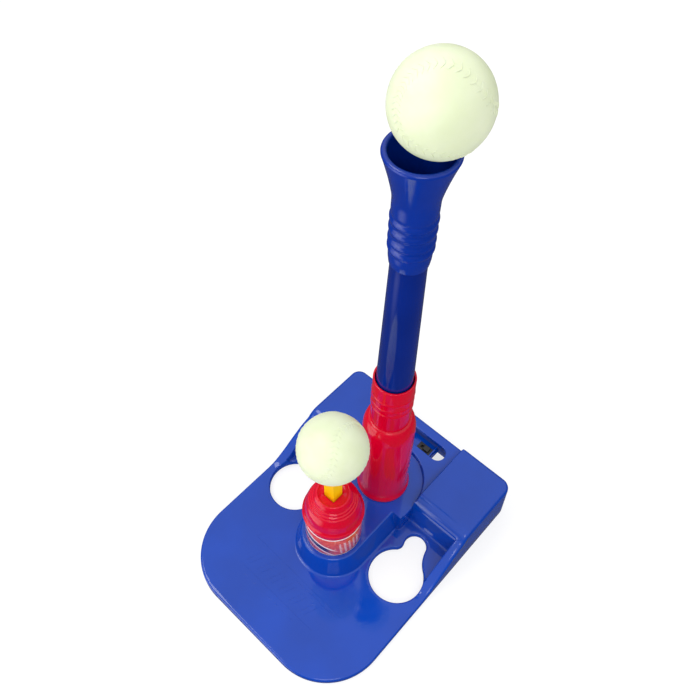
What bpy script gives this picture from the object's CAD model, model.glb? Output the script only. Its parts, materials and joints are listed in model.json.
"""Looks of a toy batting tee with a ball launcher, built round its packed design."""

import json
import logging
import math
from dataclasses import dataclass, field
from enum import Enum
from typing import Callable, Optional

import bmesh
import bpy
import numpy as np
from mathutils import Matrix, Vector
from mathutils.geometry import delaunay_2d_cdt


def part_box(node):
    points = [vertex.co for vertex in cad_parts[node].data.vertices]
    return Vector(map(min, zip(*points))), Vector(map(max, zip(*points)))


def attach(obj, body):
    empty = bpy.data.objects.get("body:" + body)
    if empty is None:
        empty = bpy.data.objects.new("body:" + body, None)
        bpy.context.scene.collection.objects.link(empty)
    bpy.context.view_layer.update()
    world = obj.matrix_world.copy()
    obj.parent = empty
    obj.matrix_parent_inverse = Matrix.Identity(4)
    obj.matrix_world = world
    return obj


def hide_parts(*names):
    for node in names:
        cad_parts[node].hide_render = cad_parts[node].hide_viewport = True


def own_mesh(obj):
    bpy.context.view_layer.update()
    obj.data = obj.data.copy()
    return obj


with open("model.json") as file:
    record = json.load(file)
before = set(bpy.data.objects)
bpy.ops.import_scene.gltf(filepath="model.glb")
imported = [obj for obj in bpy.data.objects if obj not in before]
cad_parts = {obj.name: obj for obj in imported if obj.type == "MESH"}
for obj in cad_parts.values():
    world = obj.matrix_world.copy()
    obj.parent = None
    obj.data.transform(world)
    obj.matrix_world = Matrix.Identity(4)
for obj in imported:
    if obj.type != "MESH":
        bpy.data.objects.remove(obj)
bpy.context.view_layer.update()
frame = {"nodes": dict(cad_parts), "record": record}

MM = 0.001
log = logging.getLogger("batting_tee")
Color = tuple[float, float, float]


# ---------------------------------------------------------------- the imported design

SUBPARTS = {row["node"]: row["material_slot"] for row in frame["record"]["subparts"]}
BODY_OF = {
    node: body for body, nodes in frame["record"]["behaviour"]["bodies"].items() for node in nodes
}


def low(node: str) -> np.ndarray:
    """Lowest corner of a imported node, in millimetres."""
    return np.array(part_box(node)[0]) / MM


def high(node: str) -> np.ndarray:
    """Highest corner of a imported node, in millimetres."""
    return np.array(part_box(node)[1]) / MM


def centre(node: str) -> np.ndarray:
    """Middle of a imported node's box, in millimetres."""
    return (low(node) + high(node)) / 2


# ---------------------------------------------------------------- shader maths


class Expr:
    """A number in a material: a socket, with Python's operators on it."""

    def __init__(self, graph: "NodeGraph", source: "bpy.types.NodeSocket | float") -> None:
        """Wraps a socket or a plain number of that node tree."""
        self.graph = graph
        self.source = source

    def _math(self, operation: str, *others: "Expr | float", clamp: bool = False) -> "Expr":
        """Adds one Math node that takes this value first.

        Args:
            operation: the Math node's operation.
            others: its second and third values.
            clamp: whether the result is held between 0 and 1.

        Returns:
            The node's result.
        """
        settings = {"operation": operation, "use_clamp": clamp}
        node = self.graph.node("ShaderNodeMath", settings, dict(enumerate([self, *others])))
        return Expr(self.graph, node.outputs[0])

    def __add__(self, other: "Expr | float") -> "Expr":
        """This plus other."""
        return self._math("ADD", other)

    __radd__ = __add__

    def __mul__(self, other: "Expr | float") -> "Expr":
        """This times other."""
        return self._math("MULTIPLY", other)

    __rmul__ = __mul__

    def __sub__(self, other: "Expr | float") -> "Expr":
        """This minus other."""
        return self._math("SUBTRACT", other)

    def __rsub__(self, other: float) -> "Expr":
        """Other minus this."""
        return Expr(self.graph, other)._math("SUBTRACT", self)

    def __truediv__(self, other: "Expr | float") -> "Expr":
        """This divided by other."""
        return self._math("DIVIDE", other)

    def __abs__(self) -> "Expr":
        """Distance from zero."""
        return self._math("ABSOLUTE")

    def sine(self) -> "Expr":
        """Sine of this, in radians."""
        return self._math("SINE")

    def fraction(self) -> "Expr":
        """Part after the point."""
        return self._math("FRACT")

    def lesser(self, other: "Expr | float") -> "Expr":
        """Smaller of the two."""
        return self._math("MINIMUM", other)

    def greater(self, other: "Expr | float") -> "Expr":
        """Larger of the two."""
        return self._math("MAXIMUM", other)

    def direction(self, other: "Expr") -> "Expr":
        """Angle of the point (other, this) round zero, in radians."""
        return self._math("ARCTAN2", other)

    def ramp(self, start: float, end: float) -> "Expr":
        """Smooth step from 0 at start to 1 at end.

        Args:
            start: value at which the result is 0.
            end: value at which the result is 1.

        Returns:
            The smooth step.
        """
        settings = {"interpolation_type": "SMOOTHSTEP"}
        node = self.graph.node(
            "ShaderNodeMapRange", settings, {"Value": self, "From Min": start, "From Max": end}
        )
        return Expr(self.graph, node.outputs[0])

    def band(self, middle: float, half: float, soft: float) -> "Expr":
        """1 within half of middle, falling to 0 over soft.

        Args:
            middle: centre of the band.
            half: half its width.
            soft: width of its edge.

        Returns:
            The band's mask.
        """
        return 1 - abs(self - middle).ramp(half, half + soft)


class NodeGraph:
    """A node tree whose nodes all come from one method."""

    def __init__(self, tree: bpy.types.NodeTree) -> None:
        """Takes the tree and empties it."""
        self.tree = tree
        self.tree.nodes.clear()

    def node(
        self, kind: str, settings: Optional[dict] = None, inputs: Optional[dict] = None
    ) -> bpy.types.Node:
        """Adds a node.

        Args:
            kind: the node's type.
            settings: its properties, which are set first.
            inputs: values, sockets or Exprs for its sockets, by name or number.

        Returns:
            The node.
        """
        node = self.tree.nodes.new(kind)
        for key, value in (settings or {}).items():
            setattr(node, key, value)
        for key, value in (inputs or {}).items():
            source = value.source if isinstance(value, Expr) else value
            if isinstance(source, bpy.types.NodeSocket):
                self.tree.links.new(source, node.inputs[key])
            else:
                node.inputs[key].default_value = source
        return node


class Graph(NodeGraph):
    """One material's node tree."""

    def __init__(self, name: str) -> None:
        """Makes an empty material with a Principled shader and its output."""
        self.material = bpy.data.materials.new(f"{name}_finish")
        self.material.use_nodes = True
        super().__init__(self.material.node_tree)
        self.shader = self.node("ShaderNodeBsdfPrincipled")
        self.node("ShaderNodeOutputMaterial", inputs={"Surface": self.shader.outputs[0]})
        self.place = self.node("ShaderNodeTexCoord").outputs["Object"]

    def axes(self) -> tuple[Expr, Expr, Expr]:
        """X, Y and Z of the surface point, in metres."""
        split = self.node("ShaderNodeSeparateXYZ", inputs={0: self.place})
        return tuple(Expr(self, split.outputs[i]) for i in range(3))

    def noise(
        self, scale: float, detail: float = 2.0, stretch: Color = (1, 1, 1), rough: float = 0.5
    ) -> Expr:
        """Smooth noise from 0 to 1.

        Args:
            scale: waves per metre.
            detail: finer octaves.
            stretch: factors on the three axes.
            rough: how strong the finer octaves are.

        Returns:
            The noise value.
        """
        moved = self.node("ShaderNodeMapping", inputs={"Vector": self.place, "Scale": stretch})
        inputs = {"Vector": moved.outputs[0], "Scale": scale, "Detail": detail, "Roughness": rough}
        return Expr(self, self.node("ShaderNodeTexNoise", inputs=inputs).outputs[0])

    def mix(
        self,
        share: "Expr | float",
        a: "bpy.types.NodeSocket | Color",
        b: "bpy.types.NodeSocket | Color",
    ) -> bpy.types.NodeSocket:
        """Blends two colours.

        Args:
            share: 0 gives a, 1 gives b.
            a: a linear colour or a colour socket.
            b: a linear colour or a colour socket.

        Returns:
            The colour socket.
        """
        inputs = {0: share}
        for slot, value in ((6, a), (7, b)):
            inputs[slot] = value if isinstance(value, bpy.types.NodeSocket) else (*value, 1.0)
        node = self.node("ShaderNodeMix", {"data_type": "RGBA"}, inputs)
        return node.outputs[2]

    def bump(self, height: Expr, strength: float, distance: float) -> None:
        """Feeds a height into the shader's normal.

        Args:
            height: the relief, about 0 to 1.
            strength: share of the effect.
            distance: real height of the relief, in metres.
        """
        previous = self.shader.inputs["Normal"].links
        inputs = {"Height": height, "Strength": strength, "Distance": distance}
        if previous:
            inputs["Normal"] = previous[0].from_socket
        node = self.node("ShaderNodeBump", inputs=inputs)
        self.tree.links.new(node.outputs[0], self.shader.inputs["Normal"])

    def feed(self, **sockets: "Expr | bpy.types.NodeSocket | float | tuple") -> None:
        """Sets or links the shader's sockets; underscores in the names stand for spaces."""
        for key, value in sockets.items():
            socket = self.shader.inputs[key.replace("_", " ")]
            source = value.source if isinstance(value, Expr) else value
            if isinstance(source, bpy.types.NodeSocket):
                self.tree.links.new(source, socket)
            else:
                socket.default_value = source


def srgb(red: int, green: int, blue: int) -> Color:
    """Linear colour of a 0 to 255 screen colour: the inverse of the screen's power curve.

    Args:
        red: red, 0 to 255.
        green: green, 0 to 255.
        blue: blue, 0 to 255.

    Returns:
        The linear colour.
    """
    shares = np.array([red, green, blue]) / 255
    curve = np.where(shares <= 0.04045, shares / 12.92, ((shares + 0.055) / 1.055) ** 2.4)
    return tuple(float(value) for value in curve)


# ---------------------------------------------------------------- finishes


@dataclass(frozen=True)
class Plastic:
    """A moulded plastic: colour drift, a faint orange peel and handling scuffs."""

    name: str
    color: Color
    roughness: float
    drift: float = 0.08
    peel: float = 0.12
    peel_scale: float = 260.0
    scuffs: float = 0.10
    sheen: float = 0.5
    subsurface: float = 0.0

    def build(self) -> bpy.types.Material:
        """Makes the material: drift mixes two shades, fine scratches raise the roughness.

        Returns:
            The material.
        """
        graph = Graph(self.name)
        cloud = graph.noise(14, 3).ramp(0.3, 0.7)
        darker = tuple(c * (1 - self.drift) for c in self.color)
        lighter = tuple(min(1.0, c * (1 + self.drift)) for c in self.color)
        along = graph.noise(90, 2, (1, 14, 1)).ramp(0.63, 0.72)
        across = graph.noise(80, 2, (16, 1, 2)).ramp(0.64, 0.73)
        worn = along.greater(across) * graph.noise(22, 2).ramp(0.45, 0.65)
        graph.feed(
            Base_Color=graph.mix(cloud, darker, lighter),
            Roughness=cloud * 0.03 + worn * self.scuffs + self.roughness,
            Specular_IOR_Level=self.sheen,
            Subsurface_Weight=self.subsurface,
            Subsurface_Radius=(0.004, 0.004, 0.003),
        )
        graph.bump(graph.noise(self.peel_scale, 1), self.peel, 0.0004)
        return graph.material


@dataclass(frozen=True)
class BallSkin:
    """Soft blown plastic of a ball: satin, with a fine grain."""

    name: str = "ball_skin"
    color: Color = (0.79, 0.85, 0.62)
    roughness: float = 0.42

    def build(self) -> bpy.types.Material:
        """Makes the material: two grains of bump, and a slow drift between two pale shades.

        Returns:
            The material.
        """
        graph = Graph(self.name)
        cloud = graph.noise(30, 3).ramp(0.3, 0.7)
        paler = tuple(min(1.0, c * 1.03) for c in self.color)
        deeper = (self.color[0] * 0.95, self.color[1] * 0.97, self.color[2] * 0.9)
        graph.feed(
            Base_Color=graph.mix(cloud, deeper, paler),
            Roughness=cloud * 0.08 + self.roughness,
            Subsurface_Weight=0.35,
            Subsurface_Radius=(0.012, 0.012, 0.008),
        )
        graph.bump(graph.noise(700, 3, rough=0.6), 0.25, 0.0004)
        graph.bump(graph.noise(190, 1), 0.12, 0.0008)
        return graph.material


@dataclass(frozen=True)
class Metal:
    """Plated steel or brass: brushed along one axis, with dull spots."""

    name: str
    color: Color
    roughness: float = 0.28

    def build(self) -> bpy.types.Material:
        """Makes the material: stretched noise is the brushing, cloudy noise the tarnish.

        Returns:
            The material.
        """
        graph = Graph(self.name)
        brushed = graph.noise(300, 3, (1, 1, 12))
        spots = graph.noise(120, 3).ramp(0.55, 0.7)
        dull = tuple(c * 0.7 for c in self.color)
        graph.feed(
            Base_Color=graph.mix(spots * 0.5, self.color, dull),
            Metallic=1.0,
            Roughness=brushed * 0.15 + spots * 0.15 + self.roughness,
        )
        graph.bump(brushed, 0.1, 0.0002)
        return graph.material


@dataclass(frozen=True)
class CellSleeve:
    """Printed sleeve of a battery cell: a dark band round a light middle."""

    name: str = "cell_sleeve"
    band: Color = srgb(30, 110, 70)
    body: Color = srgb(205, 205, 200)

    def build(self) -> bpy.types.Material:
        """Makes the material: the two ends of each cell take the band's colour.

        Returns:
            The material.
        """
        graph = Graph(self.name)
        middle = float(centre("battery_cells")[1]) * MM
        ends = abs(graph.axes()[1] - middle).ramp(0.011, 0.012)
        graph.feed(
            Base_Color=graph.mix(ends, self.body, self.band),
            Roughness=graph.noise(60, 2) * 0.1 + 0.3,
        )
        graph.bump(graph.noise(300, 1), 0.08, 0.0003)
        return graph.material


@dataclass(frozen=True)
class BarrelLabel:
    """Glossy printed sticker: an orange field with a dark streak, bright swooshes and dashes."""

    name: str = "barrel_label"
    field: Color = srgb(232, 98, 60)
    deep: Color = srgb(205, 62, 52)
    pale: Color = srgb(250, 196, 150)
    white: Color = srgb(250, 240, 238)
    dark: Color = srgb(40, 44, 60)

    def build(self) -> bpy.types.Material:
        """Makes the material from the angle round the barrel and the height on the label.

        Returns:
            The material.
        """
        graph = Graph(self.name)
        across, deep_axis, height = graph.axes()
        axis = centre("barrel_label") * MM
        angle = (deep_axis - float(axis[1])).direction(across - float(axis[0]))
        bottom, top = float(low("barrel_label")[2]) * MM, float(high("barrel_label")[2]) * MM
        rise = (height - bottom) / (top - bottom)
        turn = angle + 0.78
        clouds = graph.noise(160, 4, (1, 1, 2)).ramp(0.35, 0.7)
        color = graph.mix(clouds, self.field, self.deep)
        color = graph.mix(graph.noise(90, 3, (3, 3, 1)).ramp(0.58, 0.7) * 0.55, color, self.pale)
        wave = rise + turn * 0.34 + (turn * 3.0).sine() * 0.05
        streak = wave.band(0.18, 0.09, 0.03) * (1 - turn.ramp(-0.35, 0.05))
        color = graph.mix(streak, color, self.dark)
        swoosh = wave.band(0.33, 0.025, 0.02) + wave.band(0.02, 0.02, 0.015)
        color = graph.mix(swoosh.lesser(1) * (1 - turn.ramp(-0.2, 0.2)), color, self.white)
        lean = turn * 2.2 + rise * 0.25
        row = (rise * 11).fraction().band(0.5, 0.22, 0.1)
        column = (lean * 2.6).fraction().band(0.5, 0.17, 0.08)
        right = turn.ramp(0.12, 0.2) * (1 - turn.ramp(0.95, 1.05)) * rise.band(0.42, 0.3, 0.03)
        color = graph.mix(row * column * right * 0.85, color, self.white)
        border = rise.ramp(0.955, 0.965).greater(1 - rise.ramp(0.035, 0.045))
        color = graph.mix(border, color, self.white)
        graph.feed(
            Base_Color=color, Roughness=clouds * 0.04 + 0.14, Coat_Weight=0.15, Coat_Roughness=0.05
        )
        graph.bump(graph.noise(240, 1), 0.06, 0.0003)
        return graph.material


@dataclass(frozen=True)
class SwitchMark:
    """Black switch plastic with a coarse spark texture."""

    name: str = "switch_black"
    color: Color = srgb(26, 26, 30)

    def build(self) -> bpy.types.Material:
        """Makes the material: fine noise is the spark texture.

        Returns:
            The material.
        """
        graph = Graph(self.name)
        grain = graph.noise(900, 3)
        graph.feed(
            Base_Color=graph.mix(grain.ramp(0.4, 0.8), self.color, srgb(44, 44, 50)),
            Roughness=grain * 0.2 + 0.35,
        )
        graph.bump(grain, 0.2, 0.0002)
        return graph.material


class Slot(Enum):
    """The record's material slots, each with the finish that it takes."""

    BASE_BLUE = Plastic("base_blue", (0.0, 0.050, 0.41), 0.03, peel=0.006, scuffs=0.02, sheen=0.5)
    COVER_BLUE = Plastic("cover_blue", (0.0, 0.022, 0.34), 0.32)
    TUBE_BLUE = Plastic("tube_blue", (0.0, 0.015, 0.19), 0.08, peel=0.03, sheen=0.3)
    CUP_BLUE = Plastic("cup_blue", (0.0, 0.026, 0.29), 0.12, peel=0.04, sheen=0.42, subsurface=0.1)
    RED_PLASTIC = Plastic("red_plastic", (0.66, 0.0, 0.024), 0.07, peel=0.02, sheen=0.36)
    YELLOW_PLASTIC = Plastic("yellow_plastic", (1.0, 0.56, 0.0), 0.22, sheen=0.3)
    BALL_PLASTIC = BallSkin()
    LABEL_PRINT = BarrelLabel()
    BLACK_PLASTIC = SwitchMark()
    GREY_PLASTIC = Plastic("grey_plastic", srgb(205, 206, 208), 0.34)
    WHITE_NYLON = Plastic("white_nylon", srgb(232, 230, 220), 0.38, subsurface=0.1)
    STEEL = Metal("steel", (0.55, 0.56, 0.58))
    BRASS = Metal("brass", (0.78, 0.55, 0.22))
    CELL_SLEEVE = CellSleeve()
    WIRE_RED = Plastic("wire_red", srgb(176, 20, 24), 0.36)
    BLACK_RUBBER = Plastic("black_rubber", srgb(24, 24, 26), 0.6, peel=0.3)

    @property
    def material(self) -> bpy.types.Material:
        """The slot's material, made the first time that it is asked for."""
        return bpy.data.materials.get(f"{self.value.name}_finish") or self.value.build()


# ---------------------------------------------------------------- mesh work


@dataclass
class Piece:
    """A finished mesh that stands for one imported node."""

    name: str
    node: str
    edge: float = 0.0
    edge_steps: int = 2
    wall: float = 0.0

    def dress(self, mesh: bpy.types.Mesh, flat_above: float = 40.0) -> bpy.types.Object:
        """Puts the mesh in the scene with its finish, body and modifiers.

        Args:
            mesh: the piece's surface, in metres in the row frame.
            flat_above: edges sharper than this many degrees stay crisp.

        Returns:
            The object.
        """
        obj = bpy.data.objects.new(self.name, mesh)
        bpy.context.scene.collection.objects.link(obj)
        slot = SUBPARTS[self.node]
        mesh.materials.clear()
        mesh.materials.append(Slot[slot.upper()].material)
        mesh.polygons.foreach_set("use_smooth", np.ones(len(mesh.polygons), bool))
        if flat_above < 180:
            mesh.set_sharp_from_angle(angle=math.radians(flat_above))
        if self.wall:
            solid = obj.modifiers.new("wall", "SOLIDIFY")
            solid.thickness = self.wall * MM
            solid.offset = -1
        if self.edge:
            bevel = obj.modifiers.new("edge", "BEVEL")
            bevel.width = self.edge * MM
            bevel.segments = self.edge_steps
            bevel.limit_method = "ANGLE"
            bevel.angle_limit = math.radians(30)
            bevel.use_clamp_overlap = True
            bevel.harden_normals = True
        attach(obj, BODY_OF[self.node])
        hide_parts(self.node)
        triangles = sum(len(face.vertices) - 2 for face in mesh.polygons)
        log.info("%s: %d triangles on body %s", self.name, triangles, BODY_OF[self.node])
        return obj


def mesh_from(name: str, points: np.ndarray, faces: list[list[int]]) -> bpy.types.Mesh:
    """A mesh from points in millimetres and faces, with its doubles merged.

    Args:
        name: the mesh's name.
        points: one row of X, Y, Z per point.
        faces: corner numbers of each face, turning anticlockwise seen from outside.

    Returns:
        The mesh, in metres.
    """
    mesh = bpy.data.meshes.new(name)
    mesh.from_pydata((np.asarray(points, float) * MM).tolist(), [], faces)
    work = bmesh.new()
    work.from_mesh(mesh)
    bmesh.ops.remove_doubles(work, verts=work.verts, dist=1e-6)
    bmesh.ops.dissolve_degenerate(work, edges=work.edges, dist=1e-7)
    work.to_mesh(mesh)
    work.free()
    mesh.validate()
    mesh.update()
    return mesh


def grid_faces(rows: int, columns: int, wrap_rows: bool, wrap_columns: bool) -> np.ndarray:
    """Quads of a grid whose points are numbered row by row.

    Args:
        rows: number of rows.
        columns: number of points in a row.
        wrap_rows: whether the last row joins the first.
        wrap_columns: whether a row's last point joins its first.

    Returns:
        One row of four numbers per quad.
    """
    i = np.arange(rows if wrap_rows else rows - 1)[:, None]
    j = np.arange(columns if wrap_columns else columns - 1)[None, :]
    i2, j2 = (i + 1) % rows, (j + 1) % columns
    corners = [i * columns + j, i * columns + j2, i2 * columns + j2, i2 * columns + j]
    return np.stack([np.broadcast_to(c, (i.size, j.size)).ravel() for c in corners], 1)


def rounded(points: list[tuple[float, ...]], steps: int = 4) -> np.ndarray:
    """A closed outline with softened corners.

    Each corner (x, y, cut) becomes a curve that starts and ends the cut's length away from it
    and has the corner as its middle handle: (1-t)^2 a + 2t(1-t) corner + t^2 b.

    Args:
        points: the corners, with an optional cut as the third value.
        steps: number of stretches in each curve.

    Returns:
        The outline's points.
    """
    corners = np.array([point[:2] for point in points], float)
    cuts = np.array([point[2] if len(point) > 2 else 0.0 for point in points])
    before, after = np.roll(corners, 1, 0), np.roll(corners, -1, 0)
    to_before, to_after = before - corners, after - corners
    length_b, length_a = (np.linalg.norm(v, axis=1) for v in (to_before, to_after))
    cut_b, cut_a = np.minimum(cuts, length_b * 0.48), np.minimum(cuts, length_a * 0.48)
    a = corners + to_before * (cut_b / length_b)[:, None]
    b = corners + to_after * (cut_a / length_a)[:, None]
    t = np.linspace(0, 1, steps + 1)[None, :, None]
    curve = (1 - t) ** 2 * a[:, None] + 2 * t * (1 - t) * corners[:, None] + t**2 * b[:, None]
    kept = [curve[k] if cuts[k] > 0 else corners[k : k + 1] for k in range(len(corners))]
    return np.concatenate(kept)


def lathe(
    name: str, axis: np.ndarray, outline: np.ndarray, turns: int = 96
) -> bpy.types.Mesh:
    """A closed outline of (radius, height) points turned round a vertical axis.

    A point is (radius cos a, radius sin a, height) for the angle a.

    Args:
        name: the mesh's name.
        axis: X and Y of the axis, in millimetres.
        outline: the closed outline.
        turns: number of steps round the axis.

    Returns:
        The mesh.
    """
    r, z = outline[:, 0], outline[:, 1]
    area = np.sum(r * np.roll(z, -1) - np.roll(r, -1) * z)
    if area < 0:
        r, z = r[::-1], z[::-1]
    a = np.linspace(0, 2 * np.pi, turns, endpoint=False)
    x = axis[0] + r[:, None] * np.cos(a)
    y = axis[1] + r[:, None] * np.sin(a)
    points = np.stack([x, y, np.broadcast_to(z[:, None], x.shape)], -1).reshape(-1, 3)
    return mesh_from(name, points, grid_faces(len(r), turns, True, True).tolist())


def eased_copy(piece: Piece) -> bpy.types.Object:
    """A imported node's own shape as a merged mesh, with its edges eased by a bevel.

    Args:
        piece: the piece that it becomes.

    Returns:
        The object.
    """
    mesh = frame["nodes"][piece.node].data.copy()
    mesh.name = piece.name
    for layer in list(mesh.uv_layers):
        mesh.uv_layers.remove(layer)
    work = bmesh.new()
    work.from_mesh(mesh)
    bmesh.ops.remove_doubles(work, verts=work.verts, dist=2e-6)
    bmesh.ops.dissolve_limit(
        work, angle_limit=math.radians(0.4), verts=work.verts, edges=work.edges
    )
    bmesh.ops.recalc_face_normals(work, faces=work.faces)
    work.to_mesh(mesh)
    work.free()
    return piece.dress(mesh, 32)


# ---------------------------------------------------------------- base shell


@dataclass(frozen=True)
class WallProfile:
    """Side view of a drafted wall: a round top edge, a straight slope and a round foot."""

    top: float
    foot: float
    run: float
    top_radius: float
    foot_radius: float

    @property
    def slope(self) -> float:
        """Angle of the straight stretch, found by halving.

        The two arcs and the slope have to span the run and the fall exactly:
        (rt + rf)(1 - cos a) + (run - (rt + rf) sin a) tan a = top - foot.

        Returns:
            The angle from level, in radians.
        """
        both, fall = self.top_radius + self.foot_radius, self.top - self.foot
        lowest, highest = 0.01, math.pi / 2 - 1e-4
        for _ in range(60):
            a = (lowest + highest) / 2
            reach = both * (1 - math.cos(a)) + (self.run - both * math.sin(a)) * math.tan(a)
            lowest, highest = (a, highest) if reach < fall else (lowest, a)
        return lowest

    def heights(self, distance: np.ndarray) -> np.ndarray:
        """Height at each distance outside the flat top's edge.

        Args:
            distance: distances, negative on the flat top.

        Returns:
            The heights.
        """
        a = self.slope
        end_top, start_foot = self.top_radius * math.sin(a), self.run - self.foot_radius * math.sin(a)
        d = np.clip(distance, 0, self.run)
        arc = self.top - self.top_radius
        arc = arc + np.sqrt(np.maximum(self.top_radius**2 - np.minimum(d, end_top) ** 2, 0))
        line = self.top - self.top_radius * (1 - math.cos(a)) - (d - end_top) * math.tan(a)
        inner = np.maximum(self.foot_radius**2 - (self.run - np.maximum(d, start_foot)) ** 2, 0)
        bowl = self.foot + self.foot_radius - np.sqrt(inner)
        return np.where(d < end_top, arc, np.where(d < start_foot, line, bowl))

    def rows(self, steps: int = 5) -> np.ndarray:
        """Distances at which the surface needs a row of points.

        Args:
            steps: points in each arc.

        Returns:
            The sorted distances.
        """
        a = self.slope
        turn = np.sin(np.linspace(0, a, steps))
        middle = np.linspace(
            self.top_radius * math.sin(a), self.run - self.foot_radius * math.sin(a), 4
        )[1:-1]
        return np.concatenate([self.top_radius * turn, middle, self.run - self.foot_radius * turn[::-1]])


def smooth_max(a: np.ndarray, b: np.ndarray, reach: float) -> np.ndarray:
    """The larger of two heights, with a soft join where they are within reach of each other."""
    near = np.maximum(reach - np.abs(a - b), 0)
    return np.maximum(a, b) + near**2 / (4 * reach)


@dataclass
class Edge:
    """A closed edge of the sheet: its points, and the way into the material at each."""

    points: np.ndarray
    inward: np.ndarray
    roll: Callable[[np.ndarray], np.ndarray]
    bottom: float
    roll_steps: int = 6
    foot: Optional[np.ndarray] = None

    def signed(self, places: np.ndarray) -> tuple[np.ndarray, np.ndarray]:
        """Distance from the edge into the material, and the nearest edge point's number.

        Args:
            places: one row of X, Y per place.

        Returns:
            The signed distances and the numbers.
        """
        gaps = places[:, None, :] - self.points[None, :, :]
        nearest = np.argmin(np.sum(gaps**2, -1), 1)
        gap = places - self.points[nearest]
        along = np.sum(gap * self.inward[nearest], 1)
        return along, nearest


def closed_normals(points: np.ndarray, sign: float) -> np.ndarray:
    """Unit normals of a closed outline, on its left for sign 1 and on its right for sign -1.

    Args:
        points: the outline's points.
        sign: the side that they point to.

    Returns:
        One unit vector per point.
    """
    tangent = np.roll(points, -1, 0) - np.roll(points, 1, 0)
    normal = np.stack([-tangent[:, 1], tangent[:, 0]], 1) * sign
    return normal / np.linalg.norm(normal, axis=1, keepdims=True)


def even_spacing(points: np.ndarray, step: float) -> np.ndarray:
    """A closed outline's points moved to even steps along it.

    Args:
        points: a dense closed outline.
        step: length of a step.

    Returns:
        The new points, found by linear interpolation along the outline's length.
    """
    loop = np.vstack([points, points[:1]])
    along = np.concatenate([[0], np.cumsum(np.linalg.norm(np.diff(loop, axis=0), axis=1))])
    places = np.linspace(0, along[-1], max(8, round(along[-1] / step)), endpoint=False)
    return np.stack([np.interp(places, along, loop[:, k]) for k in range(2)], 1)


def arc(middle: np.ndarray, radius: float, start: float, end: float, steps: int = 60) -> np.ndarray:
    """Points on a circle from one angle to another, in radians."""
    a = np.linspace(start, end, steps)
    return middle + radius * np.stack([np.cos(a), np.sin(a)], 1)


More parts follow.
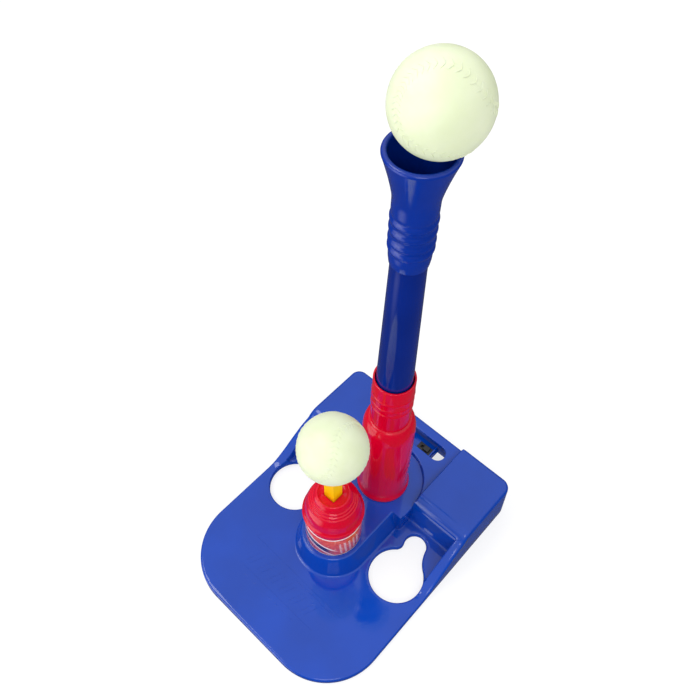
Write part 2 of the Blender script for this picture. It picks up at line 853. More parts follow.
@dataclass
class BaseShell:
    """The moulded base: one sheet over the apron, plinth, deck, wings and rims.

    Sizes and places are in millimetres, and the skin's two sides mirror each other.
    """

    half_width: float = field(default_factory=lambda: float(high("base_shell")[0]))
    half_length: float = field(default_factory=lambda: float(high("base_shell")[1]))
    tee_y: float = field(default_factory=lambda: float(centre("tee_socket")[1]))
    launcher_y: float = field(default_factory=lambda: float(centre("launcher_barrel")[1]))
    wing_top: float = field(default_factory=lambda: float(high("base_shell")[2]))
    apron: float = 8.0
    plinth: float = 42.0
    deck: float = 48.0
    deck_rear: float = 50.0
    front_radius: float = 72.0
    rear_radius: float = 15.0
    nose_radius: float = 35.5
    block_half: float = 49.4
    block_front: float = 41.8
    block_corner: float = 3.0
    wing_inner: float = 52.4
    wing_crest: float = 79.0
    trough_radius: float = 50.5
    rim_inner: float = 115.0
    rim_top: float = 50.0
    rim_start: float = -10.0
    rim_length: float = 80.0
    hole_centre: tuple[float, float] = (83.0, -2.5)
    hole_radius: float = 32.4
    lobe_centre: tuple[float, float] = (77.0, 40.0)
    lobe_radius: float = 13.5
    slot_y: float = 135.0
    slot_length: float = 78.0
    slot_width: float = 20.0
    barrel_hole: float = 29.6
    wall: float = 2.2
    draft: float = 2.4
    boss_bore: float = 1.25
    boss_radius: float = 4.0
    boss_foot: float = 4.2
    emblem_rise: float = 0.9
    spacing: float = 3.0
    slope_spacing: float = 0.9
    least_spacing: float = 0.3

    def __post_init__(self) -> None:
        """Works out the wall profiles from the levels."""
        self.nose_wall = WallProfile(self.plinth, self.apron, 12.2, 2.5, 3.0)
        self.block_wall = WallProfile(self.plinth, self.apron, 2.0, 1.0, 0.8)
        self.deck_wall = WallProfile(self.deck, self.plinth, 2.6, 1.3, 1.1)
        self.wing_side = WallProfile(self.wing_top, self.apron, 3.4, 2.3, 0.9)
        self.wing_front = WallProfile(self.wing_top, self.apron, 21.0, 17.0, 3.0)
        self.rim_wall = WallProfile(self.rim_top, self.apron, 3.8, 2.0, 1.2)

    def height(self, place: np.ndarray) -> np.ndarray:
        """Height of the outer skin before the edges turn down.

        Each form is a flat top and a wall that falls with the distance outside it. The skin is
        the largest of them all, and only the rim joins it softly.

        Args:
            place: one row of X, Y per point.

        Returns:
            The heights.
        """
        x, y = np.abs(place[:, 0]), place[:, 1]
        behind = np.minimum(y - self.launcher_y, 0)
        nose = self.nose_wall.heights(np.hypot(x, behind) - self.nose_radius)
        nose = np.where(y > self.block_front + 12, self.apron, nose)
        corner_x = np.maximum(x - (self.block_half - self.block_corner), 0)
        corner_y = np.maximum(self.block_front + self.block_corner - y, 0)
        block = self.block_wall.heights(np.hypot(corner_x, corner_y) - self.block_corner)
        ring = np.hypot(x, np.maximum(y - self.tee_y, 0))
        deck = self.deck_wall.heights(self.trough_radius - ring + np.maximum(self.tee_y - y, 0))
        lift = np.clip((y - self.tee_y - self.trough_radius) / 45, 0, 1)
        deck = deck + (self.deck_rear - self.deck) * lift * (deck > self.plinth + 4)
        side = self.wing_side.heights(self.wing_inner - x)
        front = self.wing_front.heights(self.wing_crest - y)
        falls = (self.wing_top - side) ** 4 + (self.wing_top - front) ** 4
        wing = np.maximum(self.wing_top - falls**0.25, self.apron)
        t = np.clip((y - self.rim_start) / self.rim_length, 0, 1)
        rise = t * t * (3 - 2 * t)
        rim = self.rim_wall.heights(self.rim_inner - x)
        rim = self.apron + (rim - self.apron) * rise
        skin = np.maximum(nose, block)
        reach = np.where(y > self.wing_crest - 5, self.block_half + 4, self.block_half)
        inside = (x < reach) & (y > self.block_front + 4)
        skin = np.maximum(skin, np.where(inside, deck, self.apron))
        skin = np.maximum(skin, wing)
        return smooth_max(skin, rim, 3.0)

    def outline(self) -> Edge:
        """The base's outer edge, with its large round front corners.

        The wall under it leans outwards: its top stands in by the draft times the skin's height
        above the apron, over the wing's.

        Returns:
            The edge.
        """
        w, l = self.half_width, self.half_length
        f, r = self.front_radius, self.rear_radius
        quarter = math.pi / 2
        loop = np.concatenate([
            arc(np.array([w - f, -l + f]), f, -quarter, 0),
            arc(np.array([w - r, l - r]), r, 0, quarter),
            arc(np.array([-w + r, l - r]), r, quarter, 2 * quarter),
            arc(np.array([-w + f, -l + f]), f, 2 * quarter, 3 * quarter),
        ])
        points = even_spacing(loop, 2.6)

        def roll(places: np.ndarray) -> np.ndarray:
            """Radius of the turned edge: 3 on the apron, 6 along the rims and wings."""
            return np.clip(3 + (self.height(places) - self.apron) / 17, 3, 6)

        inward = closed_normals(points, 1)
        tall = self.height(points + inward * 8) - self.apron
        lean = self.draft * tall / (self.wing_top - self.apron)
        top = points + inward * lean[:, None]
        return Edge(top, closed_normals(top, 1), roll, 0.0, 8, points)

    def ball_hole(self, side: float) -> Edge:
        """A ball hole's edge: a circle and a lobe joined by two hollow fillets.

        The centre of a fillet lies at each circle's radius plus its own from the circle's centre.

        Args:
            side: 1 for the right hole, -1 for the left.

        Returns:
            The edge.
        """
        a, b = np.array(self.hole_centre), np.array(self.lobe_centre)
        apart = float(np.linalg.norm(b - a))
        u = (b - a) / apart
        n = np.array([u[1], -u[0]])

        def fillet(radius: float, hand: float) -> np.ndarray:
            """Centre of the fillet on one hand of the line between the circles.

            Args:
                radius: the fillet's radius.
                hand: 1 for the one side, -1 for the other.

            Returns:
                Its X and Y.
            """
            ra, rb = self.hole_radius + radius, self.lobe_radius + radius
            along = (ra**2 - rb**2 + apart**2) / (2 * apart)
            return a + along * u + hand * math.sqrt(ra**2 - along**2) * n

        def angle(vector: np.ndarray) -> float:
            """Direction of a vector."""
            return math.atan2(vector[1], vector[0])

        outer_r, inner_r = 34.0, 10.0
        outer, inner = fillet(outer_r, 1), fillet(inner_r, -1)
        turn = 2 * math.pi
        a1, a2 = angle(inner - a), angle(outer - a)
        b1, b2 = angle(outer - b), angle(inner - b)
        o1, o2 = angle(a - outer), angle(b - outer)
        i1, i2 = angle(b - inner), angle(a - inner)
        loop = np.concatenate([
            arc(a, self.hole_radius, a1, a2 + turn if a2 < a1 else a2, 120),
            arc(outer, outer_r, o1, o2 - turn if o2 > o1 else o2, 30),
            arc(b, self.lobe_radius, b1, b2 + turn if b2 < b1 else b2, 60),
            arc(inner, inner_r, i1, i2 - turn if i2 > i1 else i2, 30),
        ])
        loop[:, 0] *= side
        points = even_spacing(loop, 2.0)
        return Edge(points, closed_normals(points, -side), self.fixed_roll(1.8), 1.0, 5)

    def slot(self) -> Edge:
        """The long slot over the power switch, with round ends.

        Returns:
            The edge.
        """
        reach, r = (self.slot_length - self.slot_width) / 2, self.slot_width / 2
        quarter = math.pi / 2
        loop = np.concatenate([
            arc(np.array([reach, self.slot_y]), r, -quarter, quarter),
            arc(np.array([-reach, self.slot_y]), r, quarter, 3 * quarter),
        ])
        points = even_spacing(loop, 1.6)
        return Edge(points, closed_normals(points, -1), self.fixed_roll(1.0), 43.5, 4)

    def barrel_edge(self) -> Edge:
        """The round hole that the launcher's barrel stands in.

        Returns:
            The edge.
        """
        loop = arc(np.array([0.0, self.launcher_y]), self.barrel_hole, 0, 2 * math.pi, 240)[:-1]
        points = even_spacing(loop, 2.4)
        return Edge(points, closed_normals(points, -1), self.fixed_roll(0.4), 40.0, 2)

    @staticmethod
    def fixed_roll(radius: float) -> Callable[[np.ndarray], np.ndarray]:
        """A roll radius that is the same all along an edge."""
        return lambda places: np.full(len(places), radius)

    def lines(self, reach: float, walls: list[tuple[float, float, WallProfile]]) -> np.ndarray:
        """Grid lines across the base: even ones, and one for each row of each wall.

        Args:
            reach: half the width or length.
            walls: where each wall's flat top ends, the way that it falls and its profile.

        Returns:
            The sorted places of the lines.
        """
        fine = [place + way * wall.rows() for place, way, wall in walls]
        fine += [np.array([p - w * 0.5, p + w * (wall.run + 0.5)]) for p, w, wall in walls]
        dense = np.concatenate(fine)
        even = np.arange(-reach, reach + 0.1, self.spacing)
        lone = np.abs(even[:, None] - dense[None, :]).min(1) > self.spacing * 0.45
        merged = np.sort(np.concatenate([even[lone], dense]))
        return merged[np.concatenate([[True], np.diff(merged) > 0.06])]

    def field(self) -> np.ndarray:
        """Points of the grid, thinned where curved rows follow the nose and the trough.

        Returns:
            One row of X, Y per point.
        """
        side_walls = []
        for way in (-1, 1):
            side_walls += [
                (way * self.nose_radius, way, self.nose_wall),
                (way * self.block_half, way, self.block_wall),
                (way * self.wing_inner, -way, self.wing_side),
                (way * self.rim_inner, -way, self.rim_wall),
            ]
        xs = self.lines(self.half_width, side_walls)
        long_walls = [
            (self.block_front, -1, self.block_wall),
            (self.wing_crest, -1, self.wing_front),
        ]
        slope_foot = self.wing_crest - self.wing_front.run
        close = np.arange(slope_foot, self.wing_crest, self.slope_spacing)
        ys = np.sort(np.concatenate([self.lines(self.half_length, long_walls), close]))
        ys = ys[np.concatenate([[True], np.diff(ys) > self.least_spacing])]
        grid = np.stack(np.meshgrid(xs, ys), -1).reshape(-1, 2)
        x, y = np.abs(grid[:, 0]), grid[:, 1]
        nose = np.hypot(x, y - self.launcher_y) - self.nose_radius
        by_nose = (y < self.launcher_y + 0.1) & (nose > -1.6) & (nose < self.nose_wall.run + 1.6)
        ring = self.trough_radius - np.hypot(x, y - self.tee_y)
        by_ring = (y > self.tee_y) & (x < self.wing_inner) & (ring > -1.4) & (ring < 4)
        grid = grid[~(by_nose | by_ring)]
        guard = np.array([-0.6])
        nose_d = np.concatenate([guard, self.nose_wall.rows(), self.nose_wall.run - guard])
        angles = np.linspace(-math.pi, 0, 73)
        radii = self.nose_radius + nose_d
        nose_rows = np.stack([
            radii[:, None] * np.cos(angles), self.launcher_y + radii[:, None] * np.sin(angles)
        ], -1).reshape(-1, 2)
        ring_d = np.concatenate([guard, self.deck_wall.rows(), self.deck_wall.run - guard])
        radii = self.trough_radius - ring_d
        angles = np.linspace(0, math.pi, 81)
        ring_rows = np.stack([
            radii[:, None] * np.cos(angles), self.tee_y + radii[:, None] * np.sin(angles)
        ], -1).reshape(-1, 2)
        ring_rows = ring_rows[(np.abs(ring_rows[:, 0]) < self.wing_inner - self.wing_side.run - 0.8)]
        return np.concatenate([grid, nose_rows, ring_rows])

    def sheet(self) -> bpy.types.Mesh:
        """Joins the field, the rolled edges and the turned-down walls into one sheet.

        Returns:
            The mesh, open along the bottoms of its walls.
        """
        edges = [self.outline(), self.ball_hole(1), self.ball_hole(-1), self.slot(), self.barrel_edge()]
        plan = self.field()
        # the field stops short of every rolled edge
        keep = np.ones(len(plan), bool)
        for edge in edges:
            distance, nearest = edge.signed(plan)
            keep &= distance > edge.roll(edge.points)[nearest] + 1.0
        parts, heights, loops, constraints = [plan[keep]], [self.height(plan[keep])], [], []
        count = int(keep.sum())
        # rows of points round each edge, on a quarter circle down from the skin
        for edge in edges:
            radius = edge.roll(edge.points)
            turn = np.linspace(math.pi / 2, 0, edge.roll_steps)
            for k, angle in enumerate(turn):
                inset = radius * (1 - math.sin(angle))
                row = edge.points + edge.inward * inset[:, None]
                fall = radius - np.sqrt(np.maximum(radius**2 - (radius - inset) ** 2, 0))
                surface = self.height(edge.points + edge.inward * radius[:, None])
                own = self.height(row)
                blend = np.clip(inset / radius, 0, 1)
                parts.append(row)
                heights.append(own * blend + surface * (1 - blend) - fall)
                if k == 0:
                    numbers = np.arange(count, count + len(row))
                    loops.append(numbers)
                    constraints.append(np.stack([numbers, np.roll(numbers, -1)], 1))
                count += len(row)
        plan, z = np.concatenate(parts), np.concatenate(heights)
        # triangles between all the points, less those outside an edge, all turned upwards
        found = delaunay_2d_cdt(
            [Vector(p) for p in plan.tolist()], np.concatenate(constraints).tolist(), [], 0, 1e-5
        )
        place, triangles, origin = found[0], np.array(found[2]), found[3]
        place = np.array([tuple(p) for p in place])
        first = np.array([group[0] if group else 0 for group in origin])
        height = z[first]
        to_new = np.zeros(len(plan), int)
        for number, group in enumerate(origin):
            to_new[group] = number
        middle = place[triangles].mean(1)
        inside = np.ones(len(triangles), bool)
        for edge in edges:
            inside &= edge.signed(middle)[0] > -0.02
        triangles = triangles[inside]
        a, b, c = (place[triangles[:, k]] for k in range(3))
        turn = (b[:, 0] - a[:, 0]) * (c[:, 1] - a[:, 1]) - (b[:, 1] - a[:, 1]) * (c[:, 0] - a[:, 0])
        triangles[turn < 0] = triangles[turn < 0][:, ::-1]
        # the wall under each edge, from the roll down to the edge's bottom
        points = [np.column_stack([place, height])]
        faces = triangles.tolist()
        count = len(place)
        for edge, loop in zip(edges, loops):
            top = to_new[loop]
            steps = np.linspace(0, 1, 5)[1:]
            fall = height[top][None, :] * (1 - steps[:, None]) + edge.bottom * steps[:, None]
            foot = place[top] if edge.foot is None else edge.foot
            flat = place[top] + (foot - place[top]) * steps[:, None, None]
            points.append(np.concatenate([flat, fall[..., None]], -1).reshape(-1, 3))
            rows = np.vstack([top[None], count + np.arange(fall.size).reshape(fall.shape)])
            here, there = rows[:-1], rows[1:]
            after, below = np.roll(here, -1, 1), np.roll(there, -1, 1)
            quads = np.stack([here, there, below, after], -1).reshape(-1, 4)
            tangent = np.roll(edge.points, -1, 0) - edge.points
            left = np.stack([-tangent[:, 1], tangent[:, 0]], 1)
            if np.sum(left * edge.inward) < 0:
                quads = quads[:, ::-1]
            faces += quads.tolist()
            count += fall.size
        return mesh_from("base_skin", np.concatenate(points), faces)

    def bosses(self) -> bpy.types.Mesh:
        """Turned screw bosses under the skin: five for the cover, and one by the door's screw.

        Returns:
            The mesh.
        """
        front, middle, rear = self.launcher_y - 28, 34, 108
        cover = [(0, front), (-29, middle), (29, middle), (-36, rear), (36, rear)]
        door = [(self.half_width - 34, self.half_length - 12)]
        bore, radius, foot = self.boss_bore, self.boss_radius, self.boss_foot
        meshes = []
        for top, places in ((41, cover), (57.5, door)):
            outline = rounded([(bore, foot), (radius, foot, 0.4), (radius + 0.3, top), (bore, top)])
            meshes += [lathe("boss", np.array(place), outline, 32) for place in places]
        return join_meshes("base_bosses", meshes)

    def emblem(self) -> bpy.types.Mesh:
        """Shallow raised emblem on the apron.

        Two frame lines with a hook and a short bar enclose a row of slanted bars in pairs, and a
        row of dashes lies in front.

        Returns:
            The mesh.
        """
        top = self.launcher_y - 60
        strokes = [
            ((-71, top), (-66, top + 6), 1.1),
            ((-71, top), (70, top - 2), 1.3),
            ((-62, top - 34), (54, top - 34), 1.2),
            ((2, top - 6), (62, top - 6), 2.2),
        ]
        for k in range(6):
            x = -58 + 17.5 * k
            strokes.append(((x, top - 28), (x + 7, top - 11), 2.6))
            strokes.append(((x + 6, top - 28), (x + 13, top - 11), 1.6))
        strokes += [((-46 + 12 * k, top - 41), (-41 + 12 * k, top - 41), 2.0) for k in range(7)]
        meshes = []
        for start, end, width in strokes:
            a, b = np.array(start, float), np.array(end, float)
            u = (b - a) / np.linalg.norm(b - a)
            n = np.array([-u[1], u[0]]) * width / 2
            foot = np.array([a - n, b - n, b + n, a + n])
            inner = foot + (np.array([a, b, b, a]) - foot) * 0.7 + np.outer([1, -1, -1, 1], u) * 0.4
            lower = np.column_stack([foot, np.full(4, self.apron - 0.3)])
            upper = np.column_stack([inner, np.full(4, self.apron + self.emblem_rise)])
            sides = [[k, (k + 1) % 4, 4 + (k + 1) % 4, 4 + k] for k in range(4)]
            faces = sides + [[4, 5, 6, 7], [3, 2, 1, 0]]
            meshes.append(mesh_from("stroke", np.vstack([lower, upper]), faces))
        return join_meshes("base_emblem", meshes)

    def build(self) -> None:
        """Builds the skin with its bosses and emblem."""
        Piece("base_skin", "base_shell", wall=self.wall).dress(self.sheet(), 50)
        Piece("base_bosses", "base_shell").dress(self.bosses())
        Piece("base_emblem", "base_shell").dress(self.emblem(), 60)


def join_meshes(name: str, meshes: list[bpy.types.Mesh]) -> bpy.types.Mesh:
    """One mesh that holds several.

    Args:
        name: the new mesh's name.
        meshes: the meshes, which are removed.

    Returns:
        The joined mesh.
    """
    work = bmesh.new()
    for mesh in meshes:
        work.from_mesh(mesh)
        bpy.data.meshes.remove(mesh)
    joined = bpy.data.meshes.new(name)
    work.to_mesh(joined)
    work.free()
    return joined


@dataclass
class BaseFittings:
    """Covers, screws, battery parts and the power switch."""

    eased: tuple[Piece, ...] = (
        Piece("cover_plate", "bottom_cover", 0.4),
        Piece("cover_screw_set", "cover_screws", 0.2),
        Piece("battery_tray", "battery_box", 0.4),
        Piece("battery_cell_set", "battery_cells", 0.6, 3),
        Piece("battery_springs", "battery_contacts", 0.12),
        Piece("battery_lid", "battery_door", 0.4),
        Piece("battery_lid_screw", "battery_door_screw", 0.2),
        Piece("switch_shelf", "switch_bracket", 0.4),
        Piece("switch_case", "switch_body", 0.35),
        Piece("switch_slider", "switch_knob", 0.5, 3),
        Piece("lead_wires", "wiring"),
    )

    def build(self) -> None:
        """Builds each fitting from its own design shape."""
        for piece in self.eased:
            eased_copy(piece)


# ---------------------------------------------------------------- tee


@dataclass
class Tee:
    """The red socket, the blue tube and the soft cup on it."""

    axis: np.ndarray = field(default_factory=lambda: centre("tee_tube"))
    ring_heights: tuple[float, ...] = (454.5, 462.5, 473.5, 483.5)
    bead_heights: tuple[float, ...] = (226.5, 236.0, 248.0)

    def socket(self) -> bpy.types.Mesh:
        """Turned socket: a foot flange, a straight body, a round shoulder and a beaded collar.

        Returns:
            The mesh.
        """
        foot, top = float(low("tee_socket")[2]), float(high("tee_socket")[2])
        a = np.linspace(0, math.pi / 2, 15)
        shoulder = [(21.3 + 7.4 * math.cos(t), 172 + 25 * math.sin(t)) for t in a]
        beads = []
        for z in self.bead_heights:
            beads += [(21.3, z - 1.9, 0.5), (22.0, z, 1.1), (21.3, z + 1.9, 0.5)]
        points = [
            (28.2, foot), (31.4, foot, 1.0), (31.4, foot + 4.6, 1.4), (29.6, foot + 8.2, 2.4),
            (28.7, foot + 16, 4.0), *shoulder, *beads,
            (21.3, top, 0.8), (19.2, top, 0.8), (19.2, 194, 3.0), (26.2, 170, 3.0), (26.2, foot),
        ]
        return lathe("tee_socket_body", self.axis, rounded(points), 128)

    def tube(self) -> bpy.types.Mesh:
        """Turned tube: a foot flange, a straight stretch and a long taper to the closed top.

        Returns:
            The mesh.
        """
        foot, top = low("tee_tube")[2], high("tee_tube")[2]
        points = [
            (16.4, foot), (25.2, foot, 0.5), (25.2, foot + 3, 0.5), (18.4, foot + 5, 1.0),
            (18.4, foot + 94, 20.0), (15.2, 428, 6.0), (15.2, top, 1.5), (0, top), (0, top - 2),
            (13.2, top - 2, 0.5), (13.2, 428, 4.0), (16.4, foot + 94, 4.0),
        ]
        return lathe("tee_tube_body", self.axis, rounded(points, 6), 96)

    def cup(self) -> bpy.types.Mesh:
        """Turned cup: a stretched sleeve, four grip rings, a neck and a flared bowl.

        Returns:
            The mesh.
        """
        foot, top = float(low("tee_cup")[2]), float(high("tee_cup")[2])
        inner = float(high("tee_tube")[2]) + 0.1
        outer_r = float(high("tee_cup")[0] - self.axis[0])
        lip = 2.3
        rings = []
        for z in self.ring_heights:
            rings += [(17.15, z - 3.6, 1.2), (18.5, z - 1.2, 1.3)]
            rings += [(18.5, z + 1.2, 1.3), (17.15, z + 3.6, 1.2)]
        a = np.linspace(-0.5, math.pi, 14)
        rim = [(outer_r - lip + lip * math.cos(t), top - lip + lip * math.sin(t)) for t in a]
        points = [
            (15.22, foot), (16.2, foot, 0.5), (17.2, 443, 3.0), (17.2, 448, 1.0), *rings,
            (17.8, 490, 2.0), (17.8, 503, 4.0), (19.4, 511.5, 4.0), (22.2, 523, 5.0), (25.7, 535.0, 2.0),
            *rim, (22.4, 535.5, 2.0), (19.5, 524, 4.0), (16.6, 512, 4.0), (14.6, 500, 4.0),
            (13.6, 488, 3.5), (0, 484), (0, inner), (15.22, inner),
        ]
        return lathe("tee_cup_body", self.axis, rounded(points, 5), 128)

    def build(self) -> None:
        """Builds the socket, tube, cup and their small parts."""
        Piece("tee_socket_body", "tee_socket").dress(self.socket(), 60)
        Piece("tee_tube_body", "tee_tube").dress(self.tube(), 60)
        Piece("tee_cup_body", "tee_cup").dress(self.cup(), 75)
        eased_copy(Piece("tee_socket_screws", "socket_screws", 0.2))
        eased_copy(Piece("tube_friction_ring", "tube_grip_ring", 0.4))


# ---------------------------------------------------------------- launcher


@dataclass
class Launcher:
    """The red barrel and cap, the yellow plunger, its spring and the gearbox."""

    axis: np.ndarray = field(default_factory=lambda: centre("launcher_barrel"))
    square: float = 7.15
    spring_turns: int = 7
    spring_radius: float = 11.2
    wire_radius: float = 0.5
    eased: tuple[Piece, ...] = (
        Piece("plunger_post", "plunger", 0.35),
        Piece("spring_plate", "spring_seat", 0.4),
        Piece("gearbox_front", "gearbox_front_plate", 0.3),
        Piece("gearbox_rear", "gearbox_rear_plate", 0.3),
        Piece("gearbox_pillars", "gearbox_spacers", 0.3),
        Piece("pinion_gear", "rack_pinion", 0.12, 1),
        Piece("pinion_shaft", "rack_pinion_shaft", 0.25),
        Piece("sector_wheel", "sector_gear", 0.12, 1),
        Piece("sector_axle", "sector_shaft", 0.25),
        Piece("reduction_wheel", "reduction_gear", 0.12, 1),
        Piece("reduction_axle", "reduction_shaft", 0.25),
        Piece("motor_can", "drive_motor", 0.6, 3),
        Piece("motor_gear", "motor_pinion", 0.1, 1),
    )

    def barrel(self) -> bpy.types.Mesh:
        """Turned barrel with a spigot that sits in the base.

        Returns:
            The mesh.
        """
        foot, top = low("launcher_barrel")[2], high("launcher_barrel")[2]
        outer = high("launcher_barrel")[0]
        points = [
            (28.3, foot), (29.3, foot, 0.3), (29.3, foot + 1.75), (outer, foot + 1.75, 0.5),
            (outer, top, 0.5), (29.5, top, 0.5), (29.5, foot + 4.6, 1.0), (28.3, foot + 4.6, 0.4),
        ]
        return lathe("barrel_tube", self.axis, rounded(points), 128)

    def label(self) -> bpy.types.Mesh:
        """Thin printed band round the barrel.

        Returns:
            The mesh.
        """
        foot, top, outer = low("barrel_label")[2], high("barrel_label")[2], high("barrel_label")[0]
        points = [(outer - 0.3, foot), (outer, foot, 0.1), (outer, top, 0.1), (outer - 0.3, top)]
        return lathe("barrel_label_band", self.axis, rounded(points, 2), 192)

    def cap(self) -> bpy.types.Mesh:
        """Domed cap with moulded steps, whose dished middle closes on the square post.

        The rings inside the rim blend from a circle to a square: a point at the angle a is the
        mix of radius r and the square's own reach, side / max(|cos a|, |sin a|).

        Returns:
            The mesh.
        """
        lip, top = float(low("launcher_cap")[2]), float(high("launcher_cap")[2])
        roof = 139.5
        points = [
            (32.5, lip), (34.2, lip, 0.5), (34.45, lip + 2.2, 0.8), (33.0, lip + 3.4, 0.8),
            (31.5, lip + 6.2, 2.2), (31.2, lip + 12, 3.0), (30.6, lip + 17, 3.0),
            (29.3, lip + 22, 2.5), (27.4, lip + 26.6, 1.0), (27.0, lip + 28.8, 0.4),
            (25.2, lip + 29.6, 0.4), (24.8, lip + 32.4, 0.4), (23.2, lip + 33.2, 0.4),
            (22.8, lip + 36.2, 0.4), (21.2, lip + 37.0, 0.4), (20.4, lip + 41.4, 0.8),
            (18.6, top - 0.6, 0.8), (17.0, top, 1.0), (15.6, top - 1.4, 0.8),
        ]
        dish = np.linspace(0, 1, 8)[1:-1]
        slope = [(14.9 + (self.square - 14.9) * t, top - 2 - (top - 143.6) * t) for t in dish]
        outer = np.vstack([rounded([*points, (14.9, top - 2)])[:-1], slope])
        inner_points = [
            (10.6, roof), (16, roof, 1.5), (21.6, 131, 3.0), (25, 126, 3.0), (28.4, 119, 3.0),
            (29.6, 112, 2.0), (29.8, 104.3), (32.5, 104.3, 0.3),
        ]
        inner = rounded([*inner_points, (32.5, lip)])[:-1]
        hole = self.square
        neck = [(hole + 0.3, 141.3), (hole, 141.0), (hole, roof + 0.5), (hole + 0.5, roof)]
        outline = np.vstack([outer, neck, inner])
        square = np.concatenate([np.zeros(len(outer)), np.ones(len(neck)), np.zeros(len(inner))])
        square[len(outer) - len(dish) : len(outer)] = dish
        square[len(outer) + len(neck)] = 0.5
        a = np.linspace(0, 2 * np.pi, 160, endpoint=False) + np.pi / 4
        reach = 1 / np.maximum(np.abs(np.cos(a)), np.abs(np.sin(a)))
        radius = outline[:, :1] * (1 - square[:, None] + square[:, None] * reach)
        x = self.axis[0] + radius * np.cos(a)
        y = self.axis[1] + radius * np.sin(a)
        z = np.broadcast_to(outline[:, 1:], x.shape)
        points = np.stack([x, y, z], -1).reshape(-1, 3)
        return mesh_from("launcher_dome", points, grid_faces(len(outline), len(a), True, True).tolist())

    def spring(self) -> bpy.types.Mesh:
        """Coiled wire: a small circle carried along a helix with one ring every 10 degrees.

        The wire's middle is (R cos a, R sin a, z), where z climbs evenly but slows in the first
        and last turn. Its section lies in the plane of the outward direction and the vertical,
        and the ends close with a flat cap.

        Returns:
            The mesh.
        """
        z0 = float(low("plunger_spring")[2]) + self.wire_radius
        z1 = float(high("plunger_spring")[2]) - self.wire_radius
        steps, sides = self.spring_turns * 36, 10
        a = np.linspace(0, 2 * np.pi * self.spring_turns, steps + 1)
        b = np.linspace(0, 2 * np.pi, sides, endpoint=False)
        share = np.linspace(0, 1, steps + 1)
        close = np.clip(np.minimum(share, 1 - share) * self.spring_turns, 0, 1)
        pitch = np.cumsum(np.concatenate([[0], (close[1:] * 0.88 + 0.12)]))
        z = z0 + (z1 - z0) * pitch / pitch[-1]
        radius = self.spring_radius + self.wire_radius * np.cos(b)[None, :]
        x = self.axis[0] + radius * np.cos(a)[:, None]
        y = self.axis[1] + radius * np.sin(a)[:, None]
        height = z[:, None] + self.wire_radius * np.sin(b)[None, :]
        points = np.stack([x, y, height], -1).reshape(-1, 3)
        faces = grid_faces(steps + 1, sides, False, True)[:, ::-1].tolist()
        last = steps * sides
        faces += [list(range(sides)), [last + k for k in reversed(range(sides))]]
        return mesh_from("launch_spring", points, faces)

    def build(self) -> None:
        """Builds the launcher's pieces; the spring shortens with the plunger."""
        Piece("barrel_tube", "launcher_barrel").dress(self.barrel(), 60)
        Piece("barrel_label_band", "barrel_label").dress(self.label(), 60)
        Piece("launcher_dome", "launcher_cap").dress(self.cap(), 55)
        for piece in self.eased:
            eased_copy(piece)
        coil = Piece("launch_spring", "plunger_spring").dress(self.spring(), 180)
        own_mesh(coil)


# ---------------------------------------------------------------- balls


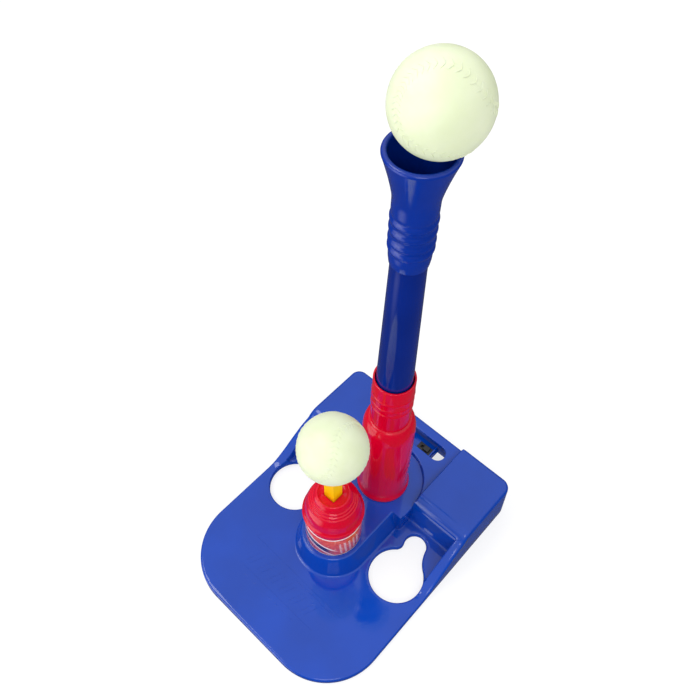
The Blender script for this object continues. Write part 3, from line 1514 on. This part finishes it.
@dataclass
class Ball:
    """A blown plastic ball with a raised seam of stitches."""

    name: str
    node: str
    turn: tuple[float, float, float]
    stitches: int = 92
    seam_swing: float = 0.44
    stitch_length: float = 4.6
    stitch_radius: float = 0.42
    stitch_stand: float = 0.35
    groove_depth: float = 0.009
    groove_width: float = 0.7
    face_points: int = 49

    def seam(self, t: np.ndarray) -> np.ndarray:
        """Unit points of the seam, a closed curve that swings twice about the equator.

        Over t from 0 to two turns, the point's angle from the pole is pi/2 - (pi/2 - A) cos t and
        its heading is t/2 + A sin 2t, which gives the two lobes their even width.

        Args:
            t: the angles.

        Returns:
            One unit vector per angle.
        """
        a = self.seam_swing
        rise = np.pi / 2 - (np.pi / 2 - a) * np.cos(t)
        head = t / 2 + a * np.sin(2 * t)
        x = np.sin(rise) * np.cos(head)
        y = np.sin(rise) * np.sin(head)
        return np.stack([x, y, np.cos(rise)], 1)

    def sphere(self, radius: float) -> tuple[np.ndarray, np.ndarray]:
        """Points and quads of a ball: six faces of a cube, each blown out to the radius.

        Args:
            radius: the ball's radius.

        Returns:
            The points and the quads.
        """
        n = self.face_points
        g = np.tan(np.linspace(-np.pi / 4, np.pi / 4, n))
        u, v = np.meshgrid(g, g)
        one = np.ones_like(u)
        sides = [(one, u, v), (-one, v, u), (v, one, u), (u, -one, v), (u, v, one), (v, u, -one)]
        cube = np.stack([np.stack(side, -1).reshape(-1, 3) for side in sides])
        ball = cube / np.linalg.norm(cube, axis=-1, keepdims=True) * radius
        quads = grid_faces(n, n, False, False)
        faces = np.concatenate([quads + k * n * n for k in range(6)])
        return ball.reshape(-1, 3), faces

    def stitch_points(self, radius: float) -> tuple[np.ndarray, np.ndarray]:
        """Points and quads of every stitch: short round-backed ridges set in pairs along the seam.

        Args:
            radius: the ball's radius.

        Returns:
            The points and the quads.
        """
        t = np.linspace(0, 4 * np.pi, self.stitches, endpoint=False)
        at = self.seam(t)
        ahead = self.seam(t + 0.01) - self.seam(t - 0.01)
        ahead /= np.linalg.norm(ahead, axis=1, keepdims=True)
        across = np.cross(at, ahead)
        s = np.linspace(0, 1, 7)
        ring = np.linspace(0, 2 * np.pi, 6, endpoint=False)
        thick = np.maximum(np.sin(np.pi * np.clip(s, 0.04, 0.96)) ** 0.5, 0.12) * self.stitch_radius
        all_points, all_faces, count = [], [], 0
        for hand in (-1, 1):
            way = across * hand * 0.86 + ahead * 0.5
            side = np.cross(at, way)
            start = at * radius + across * hand * 0.35
            spine = start[:, None, :] + way[:, None, :] * (s * self.stitch_length)[None, :, None]
            out = spine / np.linalg.norm(spine, axis=2, keepdims=True)
            spine = out * (radius + 0.02)
            offset = (
                side[:, None, None, :] * (np.cos(ring) * 1.0)[None, None, :, None]
                + out[:, :, None, :] * (np.sin(ring) * 0.8)[None, None, :, None]
            )
            tube = spine[:, :, None, :] + offset * thick[None, :, None, None]
            quads = grid_faces(len(s), len(ring), False, True)
            if hand < 0:
                quads = quads[:, ::-1]
            size = len(s) * len(ring)
            shift = (np.arange(self.stitches) * size + count)[:, None, None]
            all_points.append(tube.reshape(-1, 3))
            all_faces.append((quads[None] + shift).reshape(-1, 4))
            count += self.stitches * size
        return np.concatenate(all_points), np.concatenate(all_faces)

    def build(self) -> None:
        """Builds the ball: a groove is pressed along the seam, and the stitches stand on it."""
        middle = centre(self.node)
        outer = float(high(self.node)[2] - middle[2])
        radius = outer - self.stitch_stand
        points, faces = self.sphere(radius)
        line = self.seam(np.linspace(0, 4 * np.pi, 600, endpoint=False))
        near = np.max(points @ line.T, 1) / radius
        apart = np.arccos(np.clip(near, -1, 1)) * radius
        groove = self.groove_depth * np.exp(-((apart / self.groove_width) ** 2))
        points *= (1 - groove)[:, None]
        stitch, stitch_faces = self.stitch_points(radius)
        about_x, about_y, about_z = (Matrix.Rotation(self.turn[k], 3, "XYZ"[k]) for k in range(3))
        turn = np.array(about_z @ about_y @ about_x)
        body = mesh_from(self.name, points @ turn.T + middle, faces.tolist())
        thread = mesh_from("thread", stitch @ turn.T + middle, stitch_faces.tolist())
        for mesh in (body, thread):
            work = bmesh.new()
            work.from_mesh(mesh)
            holes = [edge for edge in work.edges if edge.is_boundary]
            if holes:
                bmesh.ops.holes_fill(work, edges=holes, sides=8)
            bmesh.ops.recalc_face_normals(work, faces=work.faces)
            work.to_mesh(mesh)
            work.free()
        Piece(self.name, self.node).dress(join_meshes(self.name, [body, thread]), 180)


# ---------------------------------------------------------------- studio


@dataclass(frozen=True)
class Softbox:
    """A square light that looks at the object's middle."""

    name: str
    place: tuple[float, float, float]
    size: float
    power: float
    color: Color = (1.0, 1.0, 1.0)


@dataclass
class Studio:
    """The camera, the pale floor and the soft lights."""

    camera_place: tuple[float, float, float] = (0.2174, -0.2477, 0.8563)
    heading: float = 41.31
    dip: float = 55.12
    roll: float = 1.5
    lens: float = 37.46
    sensor: float = 36.0
    target: tuple[float, float, float] = (0.0, 0.02, 0.2)
    world_strength: float = 1.05
    horizon_strength: float = 0.10
    lights: tuple[Softbox, ...] = (
        Softbox("key_light", (-0.7, -0.5, 1.7), 0.7, 7.0),
        Softbox("front_light", (-0.8, -2.0, 0.45), 1.1, 6.0),
        Softbox("fill_light", (0.78, -0.88, 1.25), 0.6, 4.0),
    )
    sky_heights: tuple[float, float] = (-0.1, 0.75)
    glow_way: tuple[float, float, float] = (-0.38, -0.87, -0.30)
    glow_edge: tuple[float, float] = (0.80, 0.93)
    glow_strength: float = 1.6
    floor_reach: float = 16.0
    floor_drop: float = 0.0004
    floor_glow: float = 0.72

    def camera(self) -> None:
        """Places the camera: it looks down by the dip along the heading, with a slight roll."""
        az, el, roll = (math.radians(v) for v in (self.heading, self.dip, self.roll))
        ahead = Vector((-math.sin(az) * math.cos(el), math.cos(az) * math.cos(el), -math.sin(el)))
        right = Vector((math.cos(az), math.sin(az), 0))
        up = right.cross(ahead)
        across = right * math.cos(roll) + up * math.sin(roll)
        upward = up * math.cos(roll) - right * math.sin(roll)
        data = bpy.data.cameras.new("studio_camera")
        data.lens, data.sensor_width = self.lens, self.sensor
        data.clip_start, data.clip_end = 0.01, 20
        obj = bpy.data.objects.new("studio_camera", data)
        turn = Matrix((across, upward, -ahead)).transposed().to_4x4()
        obj.matrix_world = Matrix.Translation(Vector(self.camera_place)) @ turn
        bpy.context.scene.collection.objects.link(obj)
        bpy.context.scene.camera = obj

    def floor(self) -> None:
        """A plain pale floor disc just below the base: it glows a little, and no gloss shows it."""
        rings, turns = 24, 64
        r = np.linspace(0, self.floor_reach, rings)[:, None]
        a = np.linspace(0, 2 * np.pi, turns, endpoint=False)
        z = np.full((rings, turns), -self.floor_drop)
        points = np.stack([r * np.cos(a), r * np.sin(a), z], -1).reshape(-1, 3) / MM
        faces = grid_faces(rings, turns, False, True)[:, ::-1]
        mesh = mesh_from("studio_floor", points, faces.tolist())
        obj = bpy.data.objects.new("studio_floor", mesh)
        bpy.context.scene.collection.objects.link(obj)
        graph = Graph("floor_paint")
        pale = graph.mix(graph.noise(3, 2), (0.29, 0.29, 0.29), (0.31, 0.31, 0.31))
        graph.feed(
            Base_Color=pale,
            Roughness=0.7,
            Emission_Color=(1, 1, 1, 1),
            Emission_Strength=self.floor_glow,
        )
        mesh.materials.append(graph.material)
        obj.visible_glossy = False

    def light(self) -> None:
        """Adds the softboxes, each turned to the target."""
        for box in self.lights:
            data = bpy.data.lights.new(box.name, "AREA")
            data.size, data.energy, data.color = box.size, box.power, box.color
            obj = bpy.data.objects.new(box.name, data)
            way = Vector(self.target) - Vector(box.place)
            turn = way.to_track_quat("-Z", "Y").to_matrix().to_4x4()
            obj.matrix_world = Matrix.Translation(Vector(box.place)) @ turn
            bpy.context.scene.collection.objects.link(obj)

    def surround(self) -> None:
        """A white surround: dim at the horizon, bright overhead, with a soft glow low in front.

        Its strength is a smooth step of the direction's height, plus a smooth step of how
        nearly the direction points along the glow's own.
        """
        world = bpy.data.worlds.new("studio_world")
        world.use_nodes = True
        graph = NodeGraph(world.node_tree)
        way = graph.node("ShaderNodeTexCoord").outputs["Generated"]
        height = Expr(graph, graph.node("ShaderNodeSeparateXYZ", inputs={0: way}).outputs[2])
        gain = self.world_strength - self.horizon_strength
        sky = height.ramp(*self.sky_heights) * gain + self.horizon_strength
        settings = {"operation": "DOT_PRODUCT"}
        toward = graph.node("ShaderNodeVectorMath", settings, {0: way, 1: self.glow_way})
        glow = Expr(graph, toward.outputs["Value"]).ramp(*self.glow_edge) * self.glow_strength
        inputs = {"Color": (1, 1, 1, 1), "Strength": sky + glow}
        background = graph.node("ShaderNodeBackground", inputs=inputs)
        graph.node("ShaderNodeOutputWorld", inputs={"Surface": background.outputs[0]})
        bpy.context.scene.world = world

    def build(self) -> None:
        """Sets up the whole studio."""
        self.camera()
        self.floor()
        self.light()
        self.surround()
        bpy.context.scene.view_settings.view_transform = "Standard"


def main() -> None:
    """Builds the studio and every sub-assembly, and notes the model's size."""
    logging.basicConfig(level=logging.INFO, format="%(name)s: %(message)s")
    Studio().build()
    BaseShell().build()
    BaseFittings().build()
    Tee().build()
    Launcher().build()
    Ball("tee_ball_skin", "tee_ball", (-0.61, -2.19, -1.79)).build()
    Ball("pitch_ball_skin", "pitch_ball", (2.54, 0.86, 1.06)).build()


if __name__ == "__main__":
    main()
